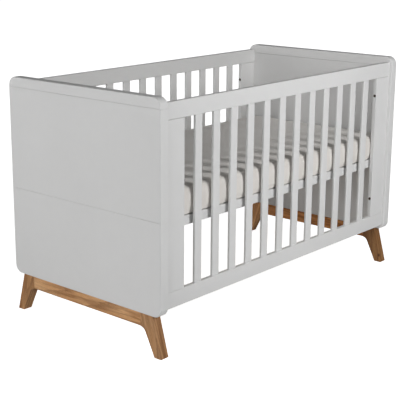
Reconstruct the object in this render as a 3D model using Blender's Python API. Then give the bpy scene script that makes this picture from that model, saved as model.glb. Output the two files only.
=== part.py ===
"""A cot bed for a 140 by 70 cm mattress, as separate boards, rails, slats, legs and bolts.

X runs along the cot, Y across it with the front at -Y, and Z up from the floor.
The origin is the middle of the footprint, on the floor. Lengths are in metres.
"""

import math

import bmesh
import bpy
from mathutils import Vector

# Overall sizes
LENGTH = 1.480
WIDTH = 0.760
HEIGHT = 0.906
GAP = 0.0003  # between pieces that touch

# End panels, each three boards stacked
END_THICKNESS = 0.037
END_BOTTOM = 0.150
END_LOWER_SEAM = 0.486
END_UPPER_SEAM = 0.868
END_CORNER_RADIUS = 0.032
END_EDGE_ROUND = 0.003
SEAM_EDGE_ROUND = 0.0006

# Slatted sides, set back from the end panels' long edges
SIDE_RECESS = 0.012
SIDE_THICKNESS = 0.018
SIDE_TOP = 0.885
SIDE_BOTTOM = 0.168
RAIL_HEIGHT = 0.060
RAIL_ROUND = 0.003
STILE_WIDTH = 0.095
STILE_ROUND = 0.0015
SLAT_COUNT = 12
SLAT_WIDTH = 0.037
SLAT_THICKNESS = 0.011
SLAT_ROUND = 0.003
TENON = 0.010  # depth that a slat enters each rail

# Leg frames, one under each end panel
LEG_THICKNESS = 0.038
LEG_RECESS = 0.0040  # set back from the end panel's outer face
LEG_BEAM_HEIGHT = 0.050
LEG_ROUND = 0.004
LEG_JOINT = 0.100  # from the end panel's long edge to the joint of leg and beam
FOOT_OUTER = 0.0040
FOOT_WIDTH = 0.0305
LEG_TOP_OUTER = 0.045
LEG_INNER_SLOPE = 0.50  # run per unit of rise
LEG_FILLET = 0.025

# Mattress base
BASE_BOTTOM = 0.440
BASE_HEIGHT = 0.035
BASE_SIDE_CLEARANCE = 0.0055
BASE_END_CLEARANCE = 0.003
BASE_RAIL_THICKNESS = 0.020
DECK_THICKNESS = 0.012
DECK_SLOT_COUNT = 11
DECK_SLOT_WIDTH = 0.060
DECK_EDGE_BAND = 0.045
BASE_LEVEL_DROP = 0.115  # between neighbouring mounting heights
BASE_LEVELS = 3
BASE_BOLT_Y = 0.250
BASE_BOLT_RISE = 0.0115  # above the base's underside

# Mattress
MATTRESS_LENGTH = 1.398
MATTRESS_WIDTH = 0.696
MATTRESS_HEIGHT = 0.106
MATTRESS_ROUND = 0.016

# Bolts
BOLT_SIDES = 16
BOLT_RADIUS = 0.003
BOLT_HEAD_RADIUS = 0.0048
BOLT_HEAD_LENGTH = 0.005
BOLT_SOCKET_RADIUS = 0.0026
BOLT_SOCKET_DEPTH = 0.003
BOLT_HOLE_RADIUS = 0.0036
HEAD_HOLE_RADIUS = 0.006
HEAD_HOLE_DEPTH = 0.045
BOLT_IN_PANEL = 0.018
PANEL_HOLE_DEPTH = 0.022
SIDE_BOLT_HEIGHTS = {"upper": 0.751, "lower": 0.306}

HALF_LENGTH = LENGTH / 2
HALF_WIDTH = WIDTH / 2
INNER_X = HALF_LENGTH - END_THICKNESS
SIDE_OUTER_Y = HALF_WIDTH - SIDE_RECESS
SIDE_MIDDLE_Y = SIDE_OUTER_Y - SIDE_THICKNESS / 2
SIDE_INNER_Y = SIDE_OUTER_Y - SIDE_THICKNESS
OPENING_LENGTH = 2 * (INNER_X - STILE_WIDTH)
SLAT_PITCH = (OPENING_LENGTH + SLAT_WIDTH) / (SLAT_COUNT + 1)
BASE_TOP = BASE_BOTTOM + BASE_HEIGHT
BASE_END_X = INNER_X - BASE_END_CLEARANCE
BASE_OUTER_Y = SIDE_INNER_Y - BASE_SIDE_CLEARANCE
DECK_HALF_WIDTH = BASE_OUTER_Y - BASE_RAIL_THICKNESS - GAP

ENDS = {"left": -1, "right": 1}
SIDES = {"front": -1, "back": 1}


def clear_scene():
    for obj in list(bpy.data.objects):
        bpy.data.objects.remove(obj, do_unlink=True)


def material(name, colour, roughness, metallic=0.0):
    made = bpy.data.materials.new(name)
    made.use_nodes = True
    shader = made.node_tree.nodes["Principled BSDF"]
    shader.inputs["Base Color"].default_value = (*colour, 1.0)
    shader.inputs["Roughness"].default_value = roughness
    shader.inputs["Metallic"].default_value = metallic
    return made


def add_object(name, mesh, finish=None):
    obj = bpy.data.objects.new(name, mesh)
    bpy.context.scene.collection.objects.link(obj)
    if finish:
        mesh.materials.append(finish)
    return obj


def rounded_outline(low, high, radii, steps=10):
    """A rectangle's outline from low to high, anticlockwise, with a radius for each corner.

    The radii are for the low-low, high-low, high-high and low-high corners in turn.
    """
    corners = [(low[0], low[1]), (high[0], low[1]), (high[0], high[1]), (low[0], high[1])]
    inward = [(1, 1), (-1, 1), (-1, -1), (1, -1)]
    points = []
    for index, (corner, way, radius) in enumerate(zip(corners, inward, radii)):
        if radius == 0:
            points.append(corner)
            continue
        centre = (corner[0] + way[0] * radius, corner[1] + way[1] * radius)
        start = math.pi + index * math.pi / 2
        for step in range(steps + 1):
            angle = start + step / steps * math.pi / 2
            points.append((centre[0] + radius * math.cos(angle), centre[1] + radius * math.sin(angle)))
    return points


def prism(name, outline, depth, axis, finish=None):
    """An outline extruded by depth along X, Y or Z, centred on the object's origin plane."""
    place = {
        "X": lambda a, b, c: Vector((c, a, b)),
        "Y": lambda a, b, c: Vector((b, c, a)),
        "Z": lambda a, b, c: Vector((a, b, c)),
    }[axis]
    bm = bmesh.new()
    start = [bm.verts.new(place(a, b, -depth / 2)) for a, b in outline]
    bm.faces.new(start)
    swept = bmesh.ops.extrude_face_region(bm, geom=list(bm.faces))
    moved = [item for item in swept["geom"] if isinstance(item, bmesh.types.BMVert)]
    bmesh.ops.translate(bm, verts=moved, vec=place(0, 0, depth))
    bmesh.ops.recalc_face_normals(bm, faces=list(bm.faces))
    mesh = bpy.data.meshes.new(name)
    bm.to_mesh(mesh)
    bm.free()
    return add_object(name, mesh, finish)


def set_edge_rounding(obj, width, weight_of, segments=2):
    """A Bevel modifier whose width on each edge is scaled by weight_of(first point, second point)."""
    mesh = obj.data
    weights = mesh.attributes.new("bevel_weight_edge", "FLOAT", "EDGE")
    for edge in mesh.edges:
        first, second = (mesh.vertices[index].co for index in edge.vertices)
        weights.data[edge.index].value = weight_of(first, second)
    rounding = obj.modifiers.new("Edge rounding", "BEVEL")
    rounding.limit_method = "WEIGHT"
    rounding.width = width
    rounding.segments = segments


def turned(name, profile, direction, finish=None):
    """A closed solid of revolution about X from (x, radius) pairs, running towards direction."""
    bm = bmesh.new()
    rings = []
    for x, radius in profile:
        ring = []
        for index in range(BOLT_SIDES):
            angle = 2 * math.pi * index / BOLT_SIDES
            ring.append(bm.verts.new((direction * x, radius * math.cos(angle), radius * math.sin(angle))))
        rings.append(ring)
    for ring, following in zip(rings, rings[1:]):
        for index in range(BOLT_SIDES):
            after = (index + 1) % BOLT_SIDES
            bm.faces.new((ring[index], ring[after], following[after], following[index]))
    bm.faces.new(rings[0])
    bm.faces.new(rings[-1])
    bmesh.ops.recalc_face_normals(bm, faces=list(bm.faces))
    mesh = bpy.data.meshes.new(name)
    bm.to_mesh(mesh)
    bm.free()
    mesh.shade_smooth()
    mesh.set_sharp_from_angle(angle=math.radians(40))
    return add_object(name, mesh, finish)


def cut(obj, cutter, operation="DIFFERENCE"):
    """Cuts one helper from obj, or joins it on, with an exact Boolean."""
    cutter.hide_render = True
    cutter.display_type = "WIRE"
    boolean = obj.modifiers.new(cutter.name, "BOOLEAN")
    boolean.object = cutter
    boolean.operation = operation
    boolean.solver = "EXACT"


def hole(name, start, depth, radius, direction):
    """A round cutter along X from the point start, running towards direction."""
    reach = 0.001
    cutter = turned(name, [(-reach, radius), (depth, radius)], direction)
    cutter.location = start
    return cutter


def end_board(end, part, bottom, top, radii, finish):
    """One of an end panel's three boards; only its outer edges have the wider rounding."""
    sign = ENDS[end]
    outline = rounded_outline((-HALF_WIDTH, bottom), (HALF_WIDTH, top), radii)
    board = prism(f"{end}_end_{part}_board", outline, END_THICKNESS, "X", finish)
    board.location.x = sign * (HALF_LENGTH - END_THICKNESS / 2)
    seams = [height for height, radius in ((bottom, radii[0]), (top, radii[2])) if radius == 0]

    def weight(first, second):
        if abs(first.x - second.x) > END_THICKNESS / 2:
            return 0.0
        on_seam = any(abs(first.z - seam) < GAP and abs(second.z - seam) < GAP for seam in seams)
        return SEAM_EDGE_ROUND / END_EDGE_ROUND if on_seam else 1.0

    set_edge_rounding(board, END_EDGE_ROUND, weight)
    return board


def base_bolt_height(level):
    return BASE_BOTTOM + BASE_BOLT_RISE - level * BASE_LEVEL_DROP


def end_panel(end, finish):
    radius = END_CORNER_RADIUS
    lower = end_board(end, "lower", END_BOTTOM, END_LOWER_SEAM, (radius, radius, 0, 0), finish)
    upper = end_board(end, "upper", END_LOWER_SEAM + GAP, END_UPPER_SEAM, (0, 0, 0, 0), finish)
    end_board(end, "top", END_UPPER_SEAM + GAP, HEIGHT, (0, 0, radius, radius), finish)
    sign = ENDS[end]
    for side, across in SIDES.items():
        for board, label in ((upper, "upper"), (lower, "lower")):
            start = (sign * INNER_X, across * SIDE_MIDDLE_Y, SIDE_BOLT_HEIGHTS[label])
            name = f"cut_{end}_{side}_{label}"
            cut(board, hole(name, start, PANEL_HOLE_DEPTH, BOLT_HOLE_RADIUS, sign))
        for level in range(BASE_LEVELS):
            start = (sign * INNER_X, across * BASE_BOLT_Y, base_bolt_height(level))
            name = f"cut_{end}_{side}_base_{level}"
            cut(lower, hole(name, start, PANEL_HOLE_DEPTH, BOLT_HOLE_RADIUS, sign))


def slat_x(index):
    """The middle of a slat, counted from the left."""
    return -OPENING_LENGTH / 2 - SLAT_WIDTH / 2 + (index + 1) * SLAT_PITCH


def mortise_cutter(name, side, height):
    """All the slat sockets of one rail, as one helper of separate boxes."""
    bm = bmesh.new()
    reach = TENON + 2 * GAP
    size = (SLAT_WIDTH + 2 * GAP, SLAT_THICKNESS + 2 * GAP, 2 * reach)
    for index in range(SLAT_COUNT):
        made = bmesh.ops.create_cube(bm, size=1.0)
        bmesh.ops.scale(bm, verts=made["verts"], vec=size)
        place = Vector((slat_x(index), SIDES[side] * SIDE_MIDDLE_Y, height))
        bmesh.ops.translate(bm, verts=made["verts"], vec=place)
    mesh = bpy.data.meshes.new(name)
    bm.to_mesh(mesh)
    bm.free()
    return add_object(name, mesh)


def side_rail(side, label, bottom, finish):
    half = (SIDE_THICKNESS / 2, RAIL_HEIGHT / 2)
    outline = rounded_outline((-half[0], -half[1]), half, (RAIL_ROUND,) * 4, steps=3)
    rail = prism(f"{side}_{label}_rail", outline, 2 * (INNER_X - GAP), "X", finish)
    rail.location = (0, SIDES[side] * SIDE_MIDDLE_Y, bottom + RAIL_HEIGHT / 2)
    inner_face = bottom if label == "top" else bottom + RAIL_HEIGHT
    cut(rail, mortise_cutter(f"cut_{side}_{label}_slats", side, inner_face))


def stile(side, end, finish):
    """An upright of a side, with a counterbored bolt hole near each end of it."""
    sign = ENDS[end]
    bottom = SIDE_BOTTOM + RAIL_HEIGHT + GAP
    top = SIDE_TOP - RAIL_HEIGHT - GAP
    half = ((STILE_WIDTH - GAP) / 2, SIDE_THICKNESS / 2)
    outline = rounded_outline((-half[0], -half[1]), half, (STILE_ROUND,) * 4, steps=2)
    upright = prism(f"{side}_{end}_stile", outline, top - bottom, "Z", finish)
    y = SIDES[side] * SIDE_MIDDLE_Y
    upright.location = (sign * (INNER_X - GAP - half[0]), y, (top + bottom) / 2)
    inner_edge = INNER_X - STILE_WIDTH
    for label, z in SIDE_BOLT_HEIGHTS.items():
        start = (sign * inner_edge, y, z)
        name = f"{side}_{end}_{label}"
        cut(upright, hole(f"cut_head_{name}", start, HEAD_HOLE_DEPTH, HEAD_HOLE_RADIUS, sign))
        cut(upright, hole(f"cut_shank_{name}", start, STILE_WIDTH * 1.1, BOLT_HOLE_RADIUS, sign))


def slats(side, finish):
    """The slats of one side share one mesh."""
    bottom = SIDE_BOTTOM + RAIL_HEIGHT - TENON
    top = SIDE_TOP - RAIL_HEIGHT + TENON
    half = (SLAT_WIDTH / 2, SLAT_THICKNESS / 2)
    outline = rounded_outline((-half[0], -half[1]), half, (SLAT_ROUND,) * 4, steps=2)
    first = prism(f"{side}_slat_01", outline, top - bottom, "Z", finish)
    for index in range(SLAT_COUNT):
        slat = first if index == 0 else add_object(f"{side}_slat_{index + 1:02d}", first.data)
        slat.location = (slat_x(index), SIDES[side] * SIDE_MIDDLE_Y, (top + bottom) / 2)


def slatted_side(side, finish):
    side_rail(side, "top", SIDE_TOP - RAIL_HEIGHT, finish)
    side_rail(side, "bottom", SIDE_BOTTOM, finish)
    for end in ENDS:
        stile(side, end, finish)
    slats(side, finish)


def leg_outline():
    """A back leg's side view: Y from the middle of the cot, Z from the floor, anticlockwise."""
    beam_bottom = END_BOTTOM - LEG_BEAM_HEIGHT
    top = END_BOTTOM - GAP
    joint = HALF_WIDTH - LEG_JOINT
    foot_outer = HALF_WIDTH - FOOT_OUTER
    foot_inner = foot_outer - FOOT_WIDTH
    corner = foot_inner - LEG_INNER_SLOPE * beam_bottom
    lean = math.atan2(1.0, LEG_INNER_SLOPE)
    centre = (corner - LEG_FILLET * math.tan(lean / 2), beam_bottom - LEG_FILLET)
    points = [(foot_inner, 0.0), (foot_outer, 0.0)]
    points.append((HALF_WIDTH - LEG_TOP_OUTER, top))
    points.append((joint, top))
    points.append((joint, beam_bottom))
    steps = 12
    for step in range(steps + 1):
        angle = math.pi / 2 - step / steps * lean
        points.append((centre[0] + LEG_FILLET * math.cos(angle), centre[1] + LEG_FILLET * math.sin(angle)))
    return points


def leg_frame(end, finish):
    """A beam along Y and the two splayed legs that it joins."""
    sign = ENDS[end]
    x = sign * (HALF_LENGTH - LEG_RECESS - LEG_THICKNESS / 2)
    beam_bottom = END_BOTTOM - LEG_BEAM_HEIGHT
    top = END_BOTTOM - GAP
    outline = rounded_outline(
        (beam_bottom, -LEG_THICKNESS / 2), (top, LEG_THICKNESS / 2), (LEG_ROUND,) * 4, steps=2
    )
    length = WIDTH - 2 * (LEG_JOINT + GAP)
    beam = prism(f"{end}_leg_beam", outline, length, "Y", finish)
    beam.location.x = x
    joint = HALF_WIDTH - LEG_JOINT
    for side, across in SIDES.items():
        points = [(across * y, z) for y, z in leg_outline()]
        leg = prism(f"{end}_{side}_leg", points, LEG_THICKNESS, "X", finish)
        leg.location.x = x

        def weight(first, second):
            along_x = abs(first.x - second.x) > LEG_THICKNESS / 2
            at_joint = abs(abs(first.y) - joint) < GAP and abs(abs(second.y) - joint) < GAP
            on_top = first.z > top - GAP and second.z > top - GAP
            at_foot = first.z < GAP and second.z < GAP
            if at_joint or (along_x and not at_foot):
                return 0.0
            return 0.5 if on_top or at_foot else 1.0

        set_edge_rounding(leg, LEG_ROUND, weight)


def deck(finish):
    """The slotted board that carries the mattress, with a rail under each of its ends."""
    half = (BASE_END_X, DECK_HALF_WIDTH)
    outline = rounded_outline((-half[0], -half[1]), half, (0,) * 4)
    board = prism("base_deck", outline, DECK_THICKNESS, "Z", finish)
    board.location.z = BASE_TOP - DECK_THICKNESS / 2
    overlap = DECK_THICKNESS / 2
    rail_height = BASE_HEIGHT - DECK_THICKNESS + overlap
    size = (BASE_RAIL_THICKNESS / 2, DECK_HALF_WIDTH)
    for end, sign in ENDS.items():
        outline = rounded_outline((-size[0], -size[1]), size, (0,) * 4)
        rail = prism(f"join_{end}_base_end", outline, rail_height, "Z")
        rail.location = (sign * (BASE_END_X - size[0]), 0, BASE_BOTTOM + rail_height / 2)
        cut(board, rail, "UNION")
    cut(board, slot_cutter())
    for end, sign in ENDS.items():
        for side, across in SIDES.items():
            inner_face = sign * (BASE_END_X - BASE_RAIL_THICKNESS)
            start = (inner_face, across * BASE_BOLT_Y, base_bolt_height(0))
            cutter = hole(f"cut_{end}_{side}_deck", start, BASE_RAIL_THICKNESS * 1.1, BOLT_HOLE_RADIUS, sign)
            cut(board, cutter)


def slot_cutter():
    """The air slots across the deck, with rounded ends, as one helper of separate prisms."""
    span = 2 * (BASE_END_X - BASE_RAIL_THICKNESS)
    pitch = (span + DECK_SLOT_WIDTH) / (DECK_SLOT_COUNT + 1)
    first = -span / 2 - DECK_SLOT_WIDTH / 2 + pitch
    half = (DECK_SLOT_WIDTH / 2, DECK_HALF_WIDTH - DECK_EDGE_BAND)
    corner = DECK_SLOT_WIDTH / 5
    outline = rounded_outline((-half[0], -half[1]), half, (corner,) * 4, steps=3)
    bm = bmesh.new()
    for index in range(DECK_SLOT_COUNT):
        middle = first + index * pitch
        base = [bm.verts.new((middle + x, y, BASE_TOP - 2 * DECK_THICKNESS)) for x, y in outline]
        face = bm.faces.new(base)
        swept = bmesh.ops.extrude_face_region(bm, geom=[face])
        moved = [item for item in swept["geom"] if isinstance(item, bmesh.types.BMVert)]
        bmesh.ops.translate(bm, verts=moved, vec=(0, 0, 3 * DECK_THICKNESS))
    bmesh.ops.recalc_face_normals(bm, faces=list(bm.faces))
    mesh = bpy.data.meshes.new("cut_deck_slots")
    bm.to_mesh(mesh)
    bm.free()
    return add_object("cut_deck_slots", mesh)


def base_rail(side, finish):
    half = (BASE_RAIL_THICKNESS / 2, BASE_HEIGHT / 2)
    outline = rounded_outline((-half[0], -half[1]), half, (SLAT_ROUND,) * 4, steps=2)
    rail = prism(f"base_{side}_rail", outline, 2 * BASE_END_X, "X", finish)
    rail.location = (0, SIDES[side] * (BASE_OUTER_Y - half[0]), BASE_BOTTOM + half[1])


def mattress(finish):
    half = (MATTRESS_LENGTH / 2, MATTRESS_WIDTH / 2)
    outline = rounded_outline((-half[0], -half[1]), half, (2 * MATTRESS_ROUND,) * 4, steps=4)
    pad = prism("mattress", outline, MATTRESS_HEIGHT, "Z", finish)
    pad.location.z = BASE_TOP + GAP + MATTRESS_HEIGHT / 2

    def weight(first, second):
        return 0.0 if abs(first.z - second.z) > MATTRESS_HEIGHT / 2 else 1.0

    set_edge_rounding(pad, MATTRESS_ROUND, weight, segments=3)


def bolt(name, head_seat, shank, direction, finish):
    """A socket-head bolt whose head rests on head_seat and whose shank runs towards direction."""
    profile = [
        (-BOLT_HEAD_LENGTH, BOLT_HEAD_RADIUS),
        (0, BOLT_HEAD_RADIUS),
        (0, BOLT_RADIUS),
        (shank, BOLT_RADIUS),
    ]
    made = turned(name, profile, direction, finish)
    made.location = head_seat
    points = []
    for index in range(6):
        angle = math.pi / 3 * index
        points.append((BOLT_SOCKET_RADIUS * math.cos(angle), BOLT_SOCKET_RADIUS * math.sin(angle)))
    socket = prism(f"cut_{name}", points, 2 * BOLT_SOCKET_DEPTH, "X")
    socket.location = Vector(head_seat) - Vector((direction * BOLT_HEAD_LENGTH, 0, 0))
    cut(made, socket)


def bolts(finish):
    """Eight bolts join the sides to the end panels, and four hold the mattress base."""
    seat = INNER_X - STILE_WIDTH + HEAD_HOLE_DEPTH
    for end, sign in ENDS.items():
        for side, across in SIDES.items():
            for label, z in SIDE_BOLT_HEIGHTS.items():
                place = (sign * (seat - GAP), across * SIDE_MIDDLE_Y, z)
                shank = INNER_X - seat + BOLT_IN_PANEL
                bolt(f"side_bolt_{side}_{end}_{label}", place, shank, sign, finish)
            inner_face = BASE_END_X - BASE_RAIL_THICKNESS - GAP
            place = (sign * inner_face, across * BASE_BOLT_Y, base_bolt_height(0))
            shank = INNER_X - inner_face - 2 * GAP
            bolt(f"base_bolt_{side}_{end}", place, shank, sign, finish)


def main():
    clear_scene()
    paint = material("white_paint", (0.80, 0.80, 0.79), 0.45)
    oak = material("oak", (0.56, 0.36, 0.19), 0.50)
    plywood = material("plywood", (0.72, 0.57, 0.38), 0.60)
    fabric = material("knit_fabric", (0.82, 0.79, 0.74), 0.90)
    steel = material("zinc_steel", (0.42, 0.42, 0.43), 0.35, 1.0)
    for end in ENDS:
        end_panel(end, paint)
        leg_frame(end, oak)
    for side in SIDES:
        slatted_side(side, paint)
        base_rail(side, paint)
    deck(plywood)
    mattress(fabric)
    bolts(steel)


main()
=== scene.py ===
"""The looks of the cot bed: painted boards, oak leg frames, a foam mattress, and a plain studio.

Everything is in metres in the CAD frame: X along the cot, Y across it with the front at -Y, Z up.
"""

import math

import bmesh
import bpy
from mathutils import Matrix, Vector, noise


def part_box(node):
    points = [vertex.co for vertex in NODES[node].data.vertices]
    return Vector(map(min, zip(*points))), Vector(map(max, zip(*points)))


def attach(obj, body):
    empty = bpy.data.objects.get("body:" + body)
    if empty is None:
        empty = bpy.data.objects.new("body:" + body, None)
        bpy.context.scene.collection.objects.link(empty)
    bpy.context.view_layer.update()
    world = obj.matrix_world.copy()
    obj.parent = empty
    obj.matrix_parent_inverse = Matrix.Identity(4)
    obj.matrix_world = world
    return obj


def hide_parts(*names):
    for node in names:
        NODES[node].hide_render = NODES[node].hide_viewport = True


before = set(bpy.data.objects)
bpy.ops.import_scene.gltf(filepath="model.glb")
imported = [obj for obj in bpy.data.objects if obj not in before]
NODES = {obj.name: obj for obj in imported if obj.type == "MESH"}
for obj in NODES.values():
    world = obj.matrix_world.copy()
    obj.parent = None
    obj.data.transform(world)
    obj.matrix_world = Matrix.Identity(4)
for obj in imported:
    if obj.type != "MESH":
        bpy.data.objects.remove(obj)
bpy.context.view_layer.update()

CROSSWAYS = Vector((0, 1, 0))

# Camera
CAMERA_PLACE = (-3.127, -2.579, 1.431)
CAMERA_HEADING = math.radians(47.92)  # from +Y towards +X
CAMERA_TILT = math.radians(14.38)  # below the horizon
CAMERA_LENS = 92.19
CAMERA_SHIFT = (0.0735, -0.022)

# Edges of the CAD pieces
MERGE_DISTANCE = 1e-5
SMOOTH_ANGLE = math.radians(55)
EASED_EDGE = 0.0006

# Materials
BORE_RADIUS = 0.0060  # of the holes that the side bolts' heads go into
# bare wood's colour, darkened further as painted shade inside the deep bores
BORE_WOOD_AND_SHADE = (0.17, 0.125, 0.085, 1)
LEG_LEAN = 0.26  # a leg's run towards the middle per unit of rise, along its grain
RING_LEAN = math.radians(3.0)  # between the growth rings' axis and the grain on the face
PITH_DEPTH = (0.055, 0.006)  # behind a board's middle at place 0, and what each next place adds
PITH_SHIFT = 0.004  # sideways, from each place in the log to the next
OAK_BOARDS = {  # each board's tint, partly the oak's own tone from board to board and partly painted light and shade (the front right leg darker, the right beam warmer, the right back leg lighter), and its place in the log
    "left_leg_beam": ((1.13, 1.20, 1.27), 3),
    "left_front_leg": ((0.83, 0.85, 0.87), 1),
    "left_back_leg": ((0.87, 0.86, 0.80), 2),
    "right_leg_beam": ((1.24, 1.05, 0.79), 6),
    "right_front_leg": ((0.59, 0.56, 0.47), 4),
    "right_back_leg": ((1.32, 1.32, 1.27), 5),
}
KNOTS = {"right_front_leg": (0.699, -0.3665, 0.031)}  # the middles of small knots in the surface
KNOT_SIZE = 0.0075
KNOT_TONE = (0.070, 0.020, 0.004, 1)
PLY_THICKNESS = 0.0014
WALE_WIDTH = 0.0017  # of the knit's columns of loops
COURSE_HEIGHT = 0.0014  # of the knit's rows of loops

# Mattress cover, before the filling swells it
COVER_MAP = "cover"
SIDE_SLACK = 0.0030  # how far inside its CAD solid the cover starts
TOP_SLACK = 0.0042
CROWN = 0.004  # how much higher the middle of the top starts than its edge
FOAM_HOLD = (0.03, 0.18)  # distances from the edge between which the foam comes to hold the top still
MOST_HOLD = 0.97
CORNER_RADIUS = 0.040
TOP_EDGE_ROUND = 0.015
BOTTOM_EDGE_ROUND = 0.009
ROUNDING_STEPS = 4
CELLS = (112, 58)  # of the grid along and across, between the rounded edges
BORDER_ROWS = 8
SEAM_DEPTH = 0.0025
UNEVENNESS = (0.16, 0.0006)  # size and depth of a filled cover's slow dents
MOST_SWELL = 0.0025
CLOTH = {
    "quality": 6,
    "mass": 0.3,
    "air_damping": 2.0,
    "tension_stiffness": 60.0,
    "compression_stiffness": 60.0,
    "shear_stiffness": 20.0,
    "bending_stiffness": 2.0,
    "use_pressure": True,
    "uniform_pressure_force": 4.0,
}
SIMULATION_FRAMES = 20

# Studio
FLOOR_RADIUS = 60.0
FLOOR_SEGMENTS = 96
FLOOR_TONE = (0.80, 0.80, 0.80, 1.0)
FLOOR_SHOWN_GLOW = 0.88
FLOOR_FADE = (1.0, 3.0)  # distances from the middle between which the floor's glow grows to white
HORIZON_GLOW = 0.005
HIGH_GLOW = 0.12
HIGH_SKY = 0.8  # the upward part of a direction from which the glow is at its full strength
LIGHT_TARGET = (0.0, 0.0, 0.5)
SOFTBOXES = {  # place, size and power in watts
    "key": ((0.18, -2.4, 1.52), 0.70, 32.3),
    "left": ((-8.2, -2.2, 3.5), 3.0, 176),
    "left_near": ((-3.5, 0.6, 1.2), 1.5, 18),
    "front": ((-4.5, -4.5, 2.0), 3.0, 13),
    "right": ((8.8, 1.5, 1.8), 3.0, 115),
    "back": ((-2.3, 8.6, 1.8), 3.0, 250),
}


class Nodes:
    """The node tree of a material or world, with short ways to add nodes to it."""

    def __init__(self, owner):
        owner.use_nodes = True
        self.nodes = owner.node_tree.nodes
        self.links = owner.node_tree.links

    def feed(self, socket, value):
        if isinstance(value, bpy.types.NodeSocket):
            self.links.new(value, socket)
        else:
            socket.default_value = value

    def add(self, kind, inputs=None, **settings):
        node = self.nodes.new("ShaderNode" + kind)
        for name, value in settings.items():
            setattr(node, name, value)
        for name, value in (inputs or {}).items():
            self.feed(node.inputs[name], value)
        return node

    def maths(self, operation, first, second=0.0, third=0.0):
        return self.add("Math", {0: first, 1: second, 2: third}, operation=operation).outputs[0]

    def placed(self, turn=None, offset=(0, 0, 0), scale=(1, 1, 1)):
        """The object's coordinates, scaled, turned by a rotation matrix and shifted."""
        source = self.add("TexCoord").outputs["Object"]
        angles = turn.to_euler() if turn else (0, 0, 0)
        inputs = {"Vector": source, "Location": offset, "Rotation": angles, "Scale": scale}
        return self.add("Mapping", inputs).outputs["Vector"]

    def scaled(self, vector, scale):
        return self.add("Mapping", {"Vector": vector, "Scale": scale}).outputs["Vector"]

    def noise(self, vector, scale, detail=2.0, roughness=0.5, distortion=0.0):
        inputs = {
            "Vector": vector,
            "Scale": scale,
            "Detail": detail,
            "Roughness": roughness,
            "Distortion": distortion,
        }
        return self.add("TexNoise", inputs).outputs["Fac"]

    def remap(self, value, low, high, new_low=0.0, new_high=1.0):
        inputs = {
            "Value": value,
            "From Min": low,
            "From Max": high,
            "To Min": new_low,
            "To Max": new_high,
        }
        return self.add("MapRange", inputs, clamp=True).outputs[0]

    def mix(self, factor, first, second):
        """The first colour where the factor is 0, and the second where it is 1."""
        node = self.add("Mix", data_type="RGBA")
        self.feed(node.inputs[0], factor)
        self.feed(node.inputs[6], first)
        self.feed(node.inputs[7], second)
        return node.outputs[2]

    def bump(self, height, distance, strength=1.0, under=None):
        inputs = {"Height": height, "Distance": distance, "Strength": strength}
        if under:
            inputs["Normal"] = under
        return self.add("Bump", inputs).outputs["Normal"]


class Finish(Nodes):
    """A new material, whose shader is the Principled BSDF."""

    def __init__(self, name):
        self.material = bpy.data.materials.new(name)
        super().__init__(self.material)
        self.shader = self.nodes["Principled BSDF"]

    def finish(self, **inputs):
        """Sets the shader's inputs, whose names are written with _ for a space."""
        for name, value in inputs.items():
            self.feed(self.shader.inputs[name.replace("_", " ")], value)
        return self.material


def white_paint(name="white_paint", bolts=()):
    """Sprayed satin lacquer, with faint orange peel, and bare wood in the bolts' bores, darkened as
    painted shade of the deep holes.
    """
    tree = Finish(name)
    place = tree.placed()
    cloud = tree.noise(place, 3.0, detail=3.0)
    mottle = tree.noise(place, 28.0, detail=4.0, roughness=0.6)
    tone = tree.maths("MULTIPLY_ADD", mottle, 0.35, tree.maths("MULTIPLY", cloud, 0.65))
    shift = tree.remap(tone, 0.3, 0.7)
    colour = tree.mix(shift, (0.722, 0.722, 0.718, 1), (0.750, 0.750, 0.746, 1))
    for bolt in bolts:
        low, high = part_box(bolt)
        axis = (low + high) / 2
        across = tree.placed(offset=(0, -axis.y, -axis.z), scale=(0, 1, 1))
        distance = tree.add("VectorMath", {0: across}, operation="LENGTH").outputs["Value"]
        # the bare wood of the bore, with painted shade that darkens the hole
        bare_and_shaded = tree.remap(distance, BORE_RADIUS, BORE_RADIUS + EASED_EDGE / 2, 1.0, 0.0)
        colour = tree.mix(bare_and_shaded, colour, BORE_WOOD_AND_SHADE)
    peel = tree.noise(place, 420.0, detail=2.0, roughness=0.55)
    wave = tree.noise(place, 45.0, detail=2.0)
    normal = tree.bump(wave, 0.00020, 0.5)
    normal = tree.bump(peel, 0.00006, 0.6, under=normal)
    rough = tree.remap(mottle, 0.3, 0.7, 0.40, 0.50)
    return tree.finish(Base_Color=colour, Roughness=rough, Normal=normal, Specular_IOR_Level=0.45)


def grain_turn(along, face):
    """The rotation that puts the grain's direction on X and the board's face on Z."""
    across = face.cross(along).normalized()
    return Matrix((along.normalized(), across, along.cross(across).normalized()))


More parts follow.
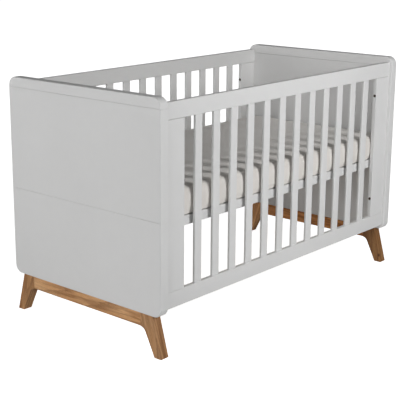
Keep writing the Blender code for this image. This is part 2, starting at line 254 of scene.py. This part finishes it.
def oak(name, along, face, centre):
    """Oiled oak: growth rings about a pith behind the face, pores, and streaks of fibre, under a board's
    tint that is partly painted light and shade.

    The rings' axis leans a little from the face's grain, which draws the flames on a flat-sawn board.
    """
    # each board's tint mixes the oak's own tone with painted light and shade
    tint_and_painted_light, place_in_log = OAK_BOARDS[name]

    def shade(red, green, blue):
        return (red * tint_and_painted_light[0], green * tint_and_painted_light[1], blue * tint_and_painted_light[2], 1)

    tree = Finish(f"oak_{name}")
    turn = grain_turn(along, face)
    lean = Matrix.Rotation(RING_LEAN, 3, "Y")
    depth = PITH_DEPTH[0] + PITH_DEPTH[1] * place_in_log
    pith = Vector((place_in_log, PITH_SHIFT * place_in_log, depth))
    offset = pith - lean @ turn @ centre
    place = tree.placed(turn=lean @ turn, offset=offset)
    board = tree.scaled(place, (0.085, 1.0, 1.0))
    rings = tree.add(
        "TexWave",
        {
            "Vector": board,
            "Scale": 26.0,
            "Distortion": 4.2,
            "Detail": 3.0,
            "Detail Scale": 0.9,
            "Detail Roughness": 0.55,
        },
        wave_type="RINGS",
        rings_direction="X",
        wave_profile="SAW",
    ).outputs["Fac"]
    early = tree.remap(rings, 0.0, 0.45, 1.0, 0.0)
    fibre = tree.noise(tree.scaled(place, (0.03, 1.0, 1.0)), 520.0, detail=3.0, roughness=0.7)
    streak = tree.noise(tree.scaled(place, (0.05, 1.0, 1.0)), 90.0, detail=3.0, roughness=0.6)
    band = tree.noise(tree.scaled(place, (0.07, 1.0, 1.0)), 55.0, detail=2.0, distortion=0.4)
    slow = tree.noise(tree.scaled(place, (0.2, 1.0, 1.0)), 22.0, detail=2.0)
    pore_noise = tree.noise(tree.scaled(place, (0.06, 1.0, 1.0)), 1300.0, detail=1.0)
    among_rings = tree.remap(early, 0.0, 1.0, 0.25, 1.0)
    pores = tree.maths("MULTIPLY", tree.remap(pore_noise, 0.56, 0.66), among_rings)
    pale, brown = shade(0.62, 0.315, 0.130), shade(0.36, 0.155, 0.052)
    colour = tree.mix(tree.remap(streak, 0.42, 0.58), pale, brown)
    colour = tree.mix(tree.remap(slow, 0.42, 0.60, 0.0, 0.65), colour, shade(0.74, 0.420, 0.200))
    colour = tree.mix(tree.remap(band, 0.48, 0.64, 0.0, 0.60), colour, shade(0.30, 0.128, 0.042))
    colour = tree.mix(tree.maths("MULTIPLY", early, 0.60), colour, shade(0.28, 0.118, 0.038))
    colour = tree.mix(tree.remap(fibre, 0.42, 0.68, 0.0, 0.35), colour, shade(0.27, 0.112, 0.038))
    colour = tree.mix(tree.maths("MULTIPLY", pores, 0.75), colour, shade(0.11, 0.042, 0.014))
    if name in KNOTS:
        points = {0: tree.placed(), 1: KNOTS[name]}
        apart = tree.add("VectorMath", points, operation="DISTANCE").outputs["Value"]
        uneven = tree.maths("MULTIPLY_ADD", streak, KNOT_SIZE, apart)
        knot = tree.remap(uneven, KNOT_SIZE, 1.6 * KNOT_SIZE, 0.85, 0.0)
        colour = tree.mix(knot, colour, KNOT_TONE)
    relief = tree.maths("MULTIPLY_ADD", pores, -0.8, tree.maths("MULTIPLY", early, -0.25))
    normal = tree.bump(relief, 0.00025, 0.8)
    rough = tree.remap(fibre, 0.3, 0.7, 0.42, 0.58)
    return tree.finish(Base_Color=colour, Roughness=rough, Normal=normal, Specular_IOR_Level=0.4)


def plywood():
    """Birch plywood: a pale face veneer with its grain along X, and bands of plies on the cut edges."""
    tree = Finish("plywood")
    place = tree.placed()
    stretched = tree.scaled(place, (0.08, 1.0, 1.0))
    figure = tree.noise(stretched, 60.0, detail=4.0, roughness=0.6, distortion=0.3)
    fibre = tree.noise(tree.scaled(place, (0.03, 1.0, 1.0)), 600.0, detail=2.0)
    colour = tree.mix(tree.remap(figure, 0.3, 0.7), (0.70, 0.545, 0.36, 1), (0.60, 0.435, 0.265, 1))
    colour = tree.mix(tree.remap(fibre, 0.5, 0.75, 0.0, 0.3), colour, (0.45, 0.30, 0.17, 1))
    height = tree.add("SeparateXYZ", {"Vector": place}).outputs["Z"]
    plies = tree.maths("PINGPONG", height, PLY_THICKNESS)
    dark_ply = tree.remap(plies, PLY_THICKNESS * 0.45, PLY_THICKNESS * 0.55, 0.0, 0.35)
    colour = tree.mix(dark_ply, colour, (0.36, 0.22, 0.115, 1))
    normal = tree.bump(fibre, 0.0001, 0.5)
    rough = tree.remap(fibre, 0.3, 0.7, 0.55, 0.7)
    return tree.finish(Base_Color=colour, Roughness=rough, Normal=normal)


def zinc_steel():
    """Zinc plating: a fine crystalline mottle on a cool grey metal."""
    tree = Finish("zinc_steel")
    place = tree.placed()
    crystals = tree.add("TexVoronoi", {"Vector": place, "Scale": 1400.0}).outputs["Distance"]
    cloud = tree.noise(place, 300.0, detail=3.0)
    colour = tree.mix(tree.remap(crystals, 0.0, 0.7), (0.48, 0.48, 0.49, 1), (0.58, 0.58, 0.58, 1))
    rough = tree.remap(cloud, 0.3, 0.7, 0.26, 0.42)
    normal = tree.bump(cloud, 0.00005, 0.4)
    return tree.finish(Base_Color=colour, Metallic=1.0, Roughness=rough, Normal=normal)


def knit_fabric():
    """A fine jersey knit with painted shade in its valleys, laid out by the cover's own UV map in
    metres.
    """
    tree = Finish("knit_fabric")
    cover = tree.add("UVMap", uv_map=COVER_MAP).outputs["UV"]
    parts = tree.add("SeparateXYZ", {"Vector": cover})
    along, up = parts.outputs["X"], parts.outputs["Y"]
    leg = tree.maths("PINGPONG", along, WALE_WIDTH / 2)
    slant = tree.maths("DIVIDE", leg, WALE_WIDTH)
    course = tree.maths("ADD", tree.maths("DIVIDE", up, COURSE_HEIGHT), slant)
    yarn = tree.maths("SINE", tree.maths("MULTIPLY", course, 2 * math.pi))
    valley = tree.remap(slant, 0.36, 0.5, 0.0, 1.0)
    loops = tree.maths("MULTIPLY_ADD", yarn, 0.35, tree.maths("MULTIPLY", valley, -0.6))
    place = tree.placed()
    cloud = tree.noise(place, 9.0, detail=3.0)
    melange = tree.noise(place, 700.0, detail=2.0)
    tone = tree.maths("MULTIPLY_ADD", melange, 0.5, tree.maths("MULTIPLY", cloud, 0.5))
    colour = tree.mix(tree.remap(tone, 0.35, 0.65), (0.75, 0.71, 0.665, 1), (0.82, 0.795, 0.76, 1))
    # painted shade in the valleys between the knit's columns of loops
    colour = tree.mix(tree.maths("MULTIPLY", valley, 0.25), colour, (0.56, 0.52, 0.47, 1))
    normal = tree.bump(cloud, 0.002, 0.3)
    normal = tree.bump(loops, 0.00025, 0.6, under=normal)
    return tree.finish(
        Base_Color=colour,
        Roughness=0.92,
        Normal=normal,
        Specular_IOR_Level=0.2,
        Sheen_Weight=0.25,
        Sheen_Roughness=0.5,
    )


def ring_insets():
    """How far in from the edge each ring of the rounded edge lies, as a share of its radius."""
    turns = [math.pi / 2 * step / ROUNDING_STEPS for step in range(ROUNDING_STEPS + 1)]
    return [1 - math.cos(turn) for turn in turns]


def lattice_lines(half, cells):
    """Places of the grid's lines from -half to half, closer together at the rounded edges."""
    edge = [inset * TOP_EDGE_ROUND for inset in ring_insets()]
    inner = half - edge[-1]
    middle = [inner * (2 * step / cells - 1) for step in range(1, cells)]
    low = [inset - half for inset in edge]
    return low + middle + [-place for place in reversed(low)]


def round_corner(x, y, half):
    """Moves a point of a rectangle's grid so that the rectangle's corners become round."""
    inner = [side - CORNER_RADIUS for side in half]
    past = abs(x) - inner[0], abs(y) - inner[1]
    if min(past) <= 0:
        return x, y
    share_x, share_y = past[0] / CORNER_RADIUS, past[1] / CORNER_RADIUS
    x_round = inner[0] + past[0] * math.sqrt(1 - share_y * share_y / 2)
    y_round = inner[1] + past[1] * math.sqrt(1 - share_x * share_x / 2)
    return math.copysign(x_round, x), math.copysign(y_round, y)


class Cover:
    """The mattress cover before it is stuffed: a top, a border and a bottom, all in quads.

    The bottom and the seam round its edge are held in place, and the middle of the top nearly so, while
    the filling swells the rest.
    """

    def __init__(self, low, high):
        self.low, self.high = low, high
        self.middle = (low + high) / 2
        self.half = [side - SIDE_SLACK for side in ((high - low) / 2).xy]
        self.lines = [lattice_lines(side, cells) for side, cells in zip(self.half, CELLS)]
        self.last = [len(line) - 1 for line in self.lines]
        self.bm = bmesh.new()
        self.map = self.bm.loops.layers.uv.new(COVER_MAP)

    def panel(self, flat, crown, edge_round, upward):
        """The cover's top or bottom: outer rings that curve away to the edge, and a crowned middle."""
        grid = []
        for column, line_x in enumerate(self.lines[0]):
            grid.append([])
            for row, line_y in enumerate(self.lines[1]):
                ring = min(column, row, self.last[0] - column, self.last[1] - row, ROUNDING_STEPS)
                drop = edge_round * (1 - math.sin(math.pi / 2 * ring / ROUNDING_STEPS))
                x, y = round_corner(line_x, line_y, self.half)
                rise = crown * (1 - (x / self.half[0]) ** 2) * (1 - (y / self.half[1]) ** 2)
                z = flat + rise - drop if upward else flat + drop
                grid[-1].append(self.bm.verts.new((self.middle.x + x, self.middle.y + y, z)))
        for column in range(self.last[0]):
            for row in range(self.last[1]):
                near, far = grid[column], grid[column + 1]
                points = [near[row], far[row], far[row + 1], near[row + 1]]
                if not upward:
                    points.reverse()
                self.face(points, [point.co.xy for point in points])
        return grid

    def hold(self, place):
        """How firmly the foam holds a point of the top, from 0 at its edge to nearly 1 in its middle."""
        inset = min(side - abs(part) for side, part in zip(self.half, (place - self.middle).xy))
        start, end = FOAM_HOLD
        share = min(max((inset - start) / (end - start), 0.0), 1.0)
        return MOST_HOLD * share * share * (3 - 2 * share)

    def face(self, points, places):
        """A smooth face, with its corners' places on the cloth in metres."""
        made = self.bm.faces.new(points)
        made.smooth = True
        for loop, place in zip(made.loops, places):
            loop[self.map].uv = place

    def rim(self, grid):
        """The panel's outer points in order, anticlockwise seen from above."""
        columns, rows = self.last
        front = [grid[column][0] for column in range(columns)]
        right = [grid[columns][row] for row in range(rows)]
        back = [grid[column][rows] for column in range(columns, 0, -1)]
        left = [grid[0][row] for row in range(rows, 0, -1)]
        return front + right + back + left

    def border(self, lower, upper):
        """The strip between the bottom's seam and the top's rounded edge."""
        loops = [lower]
        for level in range(1, BORDER_ROWS):
            share = level / BORDER_ROWS
            places = [low.co.lerp(high.co, share) for low, high in zip(lower, upper)]
            loops.append([self.bm.verts.new(place) for place in places])
        loops.append(upper)
        count = len(lower)
        travelled = [0.0]
        for index in range(count):
            travelled.append(travelled[-1] + (lower[(index + 1) % count].co - lower[index].co).length)
        for below, above in zip(loops, loops[1:]):
            for index in range(count):
                after = (index + 1) % count
                points = [below[index], below[after], above[after], above[index]]
                ways = [travelled[index], travelled[index + 1], travelled[index + 1], travelled[index]]
                self.face(points, [(way, point.co.z) for way, point in zip(ways, points)])

    def build(self):
        upper = self.panel(self.high.z - TOP_SLACK, CROWN, TOP_EDGE_ROUND, upward=True)
        lower = self.panel(self.low.z, 0.0, BOTTOM_EDGE_ROUND, upward=False)
        seam = self.rim(lower)
        self.border(seam, self.rim(upper))
        for point in seam:
            inward = Vector((self.middle.x - point.co.x, self.middle.y - point.co.y, 0))
            reach = [math.copysign(min(abs(part), SEAM_DEPTH), part) for part in inward]
            point.co += Vector(reach)
        self.bm.verts.index_update()
        fixed = [point.index for line in lower for point in line]
        foam = {point.index: self.hold(point.co) for line in upper for point in line}
        mesh = bpy.data.meshes.new("mattress_cover")
        self.bm.to_mesh(mesh)
        self.bm.free()
        cover = bpy.data.objects.new("mattress_cover", mesh)
        bpy.context.scene.collection.objects.link(cover)
        held = cover.vertex_groups.new(name="held")
        held.add(fixed, 1.0, "REPLACE")
        for index, weight in foam.items():
            held.add([index], weight, "REPLACE")
        return cover


def inflate(cover):
    """Blows the cover up by cloth simulation, and keeps the result as its mesh."""
    cloth = cover.modifiers.new("filling", "CLOTH")
    for name, value in CLOTH.items():
        setattr(cloth.settings, name, value)
    cloth.settings.vertex_group_mass = "held"
    cloth.settings.effector_weights.gravity = 0.0
    cloth.collision_settings.use_collision = False
    scene = bpy.context.scene
    for step in range(1, SIMULATION_FRAMES + 1):
        scene.frame_set(step)
    graph = bpy.context.evaluated_depsgraph_get()
    swollen = [point.co.copy() for point in cover.evaluated_get(graph).data.vertices]
    cover.modifiers.remove(cloth)
    scene.frame_set(1)
    dent_size, dent_depth = UNEVENNESS
    for point, place in zip(cover.data.vertices, swollen):
        move = place - point.co
        if move.length > 0:
            normal = point.normal.copy()
            point.co += move.normalized() * MOST_SWELL * math.tanh(move.length / MOST_SWELL)
            point.co += normal * dent_depth * noise.noise(place / dent_size)


def foam_mattress():
    """The mattress in its cover, in place of the plain CAD solid."""
    low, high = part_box("mattress")
    cover = Cover(low, high).build()
    inflate(cover)
    subdivision = cover.modifiers.new("subdivision", "SUBSURF")
    subdivision.levels = 1
    subdivision.render_levels = 1
    cover.data.materials.append(knit_fabric())
    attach(cover, "mattress_pad")
    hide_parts("mattress")


def set_camera():
    data = bpy.data.cameras.new("camera")
    data.lens = CAMERA_LENS
    data.shift_x, data.shift_y = CAMERA_SHIFT
    data.clip_end = 100.0
    camera = bpy.data.objects.new("camera", data)
    bpy.context.scene.collection.objects.link(camera)
    camera.location = CAMERA_PLACE
    camera.rotation_euler = (math.pi / 2 - CAMERA_TILT, 0.0, -CAMERA_HEADING)
    bpy.context.scene.camera = camera


def smoothing_nodes():
    """Joins the split points of an imported mesh and smooths it, except across sharp edges."""
    group = bpy.data.node_groups.new("joined_and_smoothed", "GeometryNodeTree")
    group.interface.new_socket("Geometry", in_out="INPUT", socket_type="NodeSocketGeometry")
    group.interface.new_socket("Geometry", in_out="OUTPUT", socket_type="NodeSocketGeometry")
    start = group.nodes.new("NodeGroupInput")
    end = group.nodes.new("NodeGroupOutput")
    unset = group.nodes.new("GeometryNodeRemoveAttribute")
    unset.inputs["Name"].default_value = "custom_normal"
    merge = group.nodes.new("GeometryNodeMergeByDistance")
    merge.inputs["Distance"].default_value = MERGE_DISTANCE
    smooth = group.nodes.new("GeometryNodeSetShadeSmooth")
    sharp = group.nodes.new("GeometryNodeSetShadeSmooth")
    sharp.domain = "EDGE"
    sharp.inputs["Shade Smooth"].default_value = False
    angle = group.nodes.new("GeometryNodeInputMeshEdgeAngle")
    compare = group.nodes.new("FunctionNodeCompare")
    compare.operation = "GREATER_THAN"
    compare.inputs[1].default_value = SMOOTH_ANGLE
    group.links.new(angle.outputs["Unsigned Angle"], compare.inputs[0])
    group.links.new(compare.outputs[0], sharp.inputs["Selection"])
    chain = (start, unset, merge, smooth, sharp, end)
    for before, after in zip(chain, chain[1:]):
        group.links.new(before.outputs[0], after.inputs[0])
    return group


def refine_edges(obj, group):
    """Smooth shading, a slight easing of the sharp edges, and normals that keep the flats flat."""
    obj.modifiers.new("smoothing", "NODES").node_group = group
    easing = obj.modifiers.new("eased edges", "BEVEL")
    easing.width = EASED_EDGE
    easing.segments = 2
    easing.limit_method = "ANGLE"
    easing.angle_limit = SMOOTH_ANGLE
    flats = obj.modifiers.new("flat faces", "WEIGHTED_NORMAL")
    flats.keep_sharp = True


def dress(obj, material):
    """Puts the material in all of the object's slots, and leaves its mesh alone."""
    for slot in obj.material_slots:
        slot.link = "OBJECT"
        slot.material = material


def camera_only(tree, seen, unseen):
    """A shader that is one thing to the camera and another to every other ray."""
    to_camera = tree.add("LightPath").outputs["Is Camera Ray"]
    return tree.add("MixShader", {0: to_camera, 1: unseen, 2: seen}).outputs[0]


def studio_floor():
    """A pale floor that glows to the camera alone, so that it shows near white under soft shadows."""
    bm = bmesh.new()
    bmesh.ops.create_circle(bm, cap_ends=True, segments=FLOOR_SEGMENTS, radius=FLOOR_RADIUS)
    mesh = bpy.data.meshes.new("floor")
    bm.to_mesh(mesh)
    bm.free()
    floor = bpy.data.objects.new("floor", mesh)
    bpy.context.scene.collection.objects.link(floor)
    tree = Finish("studio_floor")
    tree.finish(Base_Color=FLOOR_TONE, Roughness=0.9, Specular_IOR_Level=0.1)
    matt = tree.shader.outputs[0]
    place = tree.add("TexCoord").outputs["Object"]
    distance = tree.add("VectorMath", {0: place}, operation="LENGTH").outputs["Value"]
    strength = tree.remap(distance, *FLOOR_FADE, FLOOR_SHOWN_GLOW, 1.0)
    glow = tree.add("Emission", {"Color": (1, 1, 1, 1), "Strength": strength}).outputs[0]
    glowing = tree.add("AddShader", {0: matt, 1: glow}).outputs[0]
    surface = tree.nodes["Material Output"].inputs["Surface"]
    tree.feed(surface, camera_only(tree, glowing, matt))
    mesh.materials.append(tree.material)


def studio_world():
    """White to the camera, and a weak glow, brighter high up, to everything else."""
    world = bpy.data.worlds.new("studio")
    tree = Nodes(world)
    upward = tree.add("SeparateXYZ", {0: tree.add("TexCoord").outputs["Generated"]}).outputs["Z"]
    strength = tree.remap(upward, 0.0, HIGH_SKY, HORIZON_GLOW, HIGH_GLOW)
    lighting = tree.add("Background", {"Strength": strength}).outputs[0]
    backdrop = tree.add("Background", {"Color": (1, 1, 1, 1), "Strength": 1.0}).outputs[0]
    tree.feed(tree.nodes["World Output"].inputs["Surface"], camera_only(tree, backdrop, lighting))
    bpy.context.scene.world = world


def softbox(name, place, size, power):
    """A square area light, aimed at the cot."""
    data = bpy.data.lights.new(name, "AREA")
    data.size = size
    data.energy = power
    light = bpy.data.objects.new(name, data)
    bpy.context.scene.collection.objects.link(light)
    light.location = place
    light.rotation_euler = (Vector(place) - Vector(LIGHT_TARGET)).to_track_quat("Z", "Y").to_euler()


def dress_cad_nodes():
    group = smoothing_nodes()
    finishes = {"white_paint": white_paint(), "plywood": plywood(), "zinc_steel": zinc_steel()}
    for name, obj in NODES.items():
        finish = obj.material_slots[0].material.name
        if finish == "oak":
            low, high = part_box(name)
            centre = (low + high) / 2
            outward = Vector((math.copysign(1, centre.x), 0, 0))
            if name.endswith("beam"):
                along = CROSSWAYS
            else:
                along = Vector((0, -math.copysign(LEG_LEAN, centre.y), 1)).normalized()
            dress(obj, oak(name, along, outward, centre))
        elif name.endswith("stile"):
            side_and_end = name.removesuffix("_stile")
            bolts = [f"side_bolt_{side_and_end}_{level}" for level in ("upper", "lower")]
            dress(obj, white_paint(f"white_paint_{name}", bolts))
        elif finish in finishes:
            dress(obj, finishes[finish])
        refine_edges(obj, group)


def main():
    set_camera()
    studio_floor()
    studio_world()
    for name, light in SOFTBOXES.items():
        softbox(name, *light)
    bpy.context.scene.view_settings.view_transform = "Standard"
    dress_cad_nodes()
    foam_mattress()


main()
